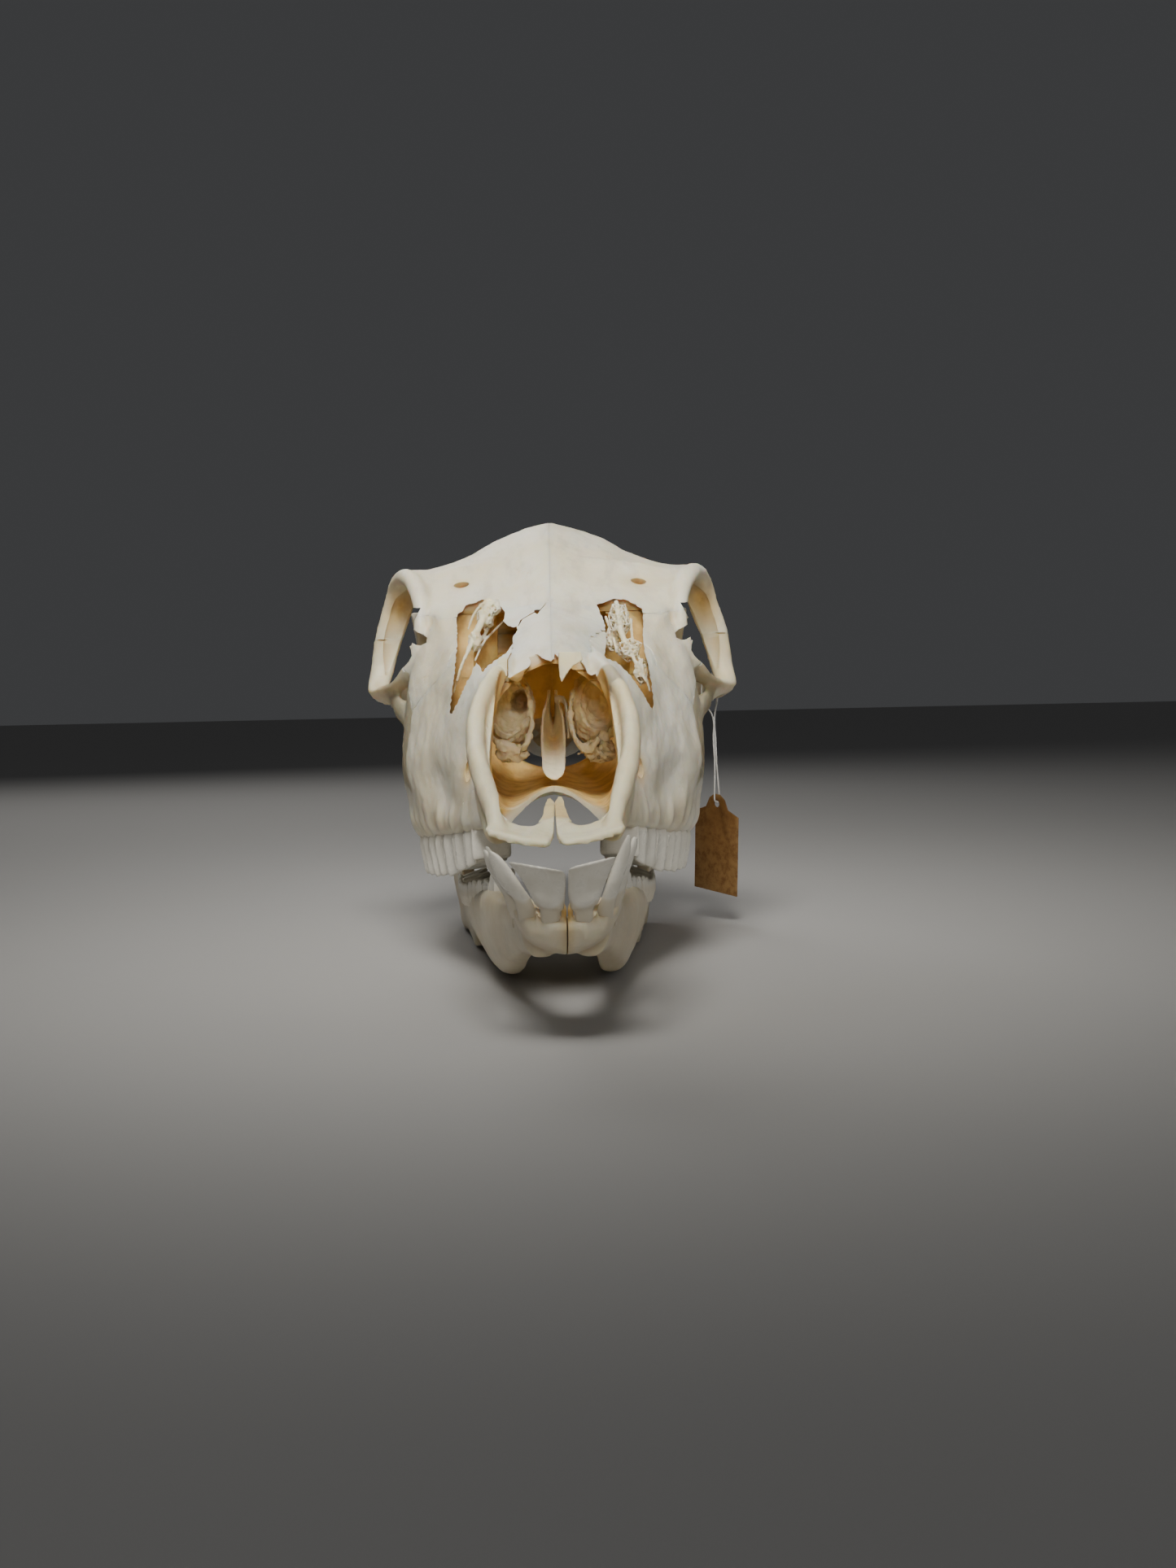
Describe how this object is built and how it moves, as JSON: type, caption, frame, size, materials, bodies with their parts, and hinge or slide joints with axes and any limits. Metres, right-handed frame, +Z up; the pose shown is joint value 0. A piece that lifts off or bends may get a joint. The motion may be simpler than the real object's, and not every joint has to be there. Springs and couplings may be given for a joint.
{
  "type": "fallow deer skull",
  "caption": "Life-size skull of an antlerless fallow deer, jaws in place, standing on its lower jaw, with a blank card tag on a thread.",
  "frame": {"origin": "on the floor under the middle of the bones, at the height of the feet of the lower jaw", "axes": "+Y from the muzzle to the back of the head, +X to the animal's left, +Z up"},
  "size_m": [0.1102, 0.2516, 0.1232],
  "materials": {
    "bone": "cleaned dry bone, off-white, faintly waxy",
    "inner_bone": "thin amber-stained bone inside the nose",
    "enamel": "tooth enamel, cool white, satin",
    "card": "brown manila card, matt",
    "cotton": "white cotton thread"
  },
  "bodies": {
    "root": {"braincase": "bone", "frontal_left": "bone", "frontal_right": "bone", "lacrimal_left": "bone", "lacrimal_right": "bone", "mandible_left": "bone", "mandible_right": "bone", "maxilla_left": "bone", "maxilla_right": "bone", "nasal_left": "bone", "nasal_right": "bone", "premaxilla_left": "bone", "premaxilla_right": "bone", "zygomatic_left": "bone", "zygomatic_right": "bone", "turbinate_left": "inner_bone", "turbinate_right": "inner_bone", "vomer": "inner_bone", "tag_card": "card", "tag_thread": "cotton"}
  },
  "joints": []
}
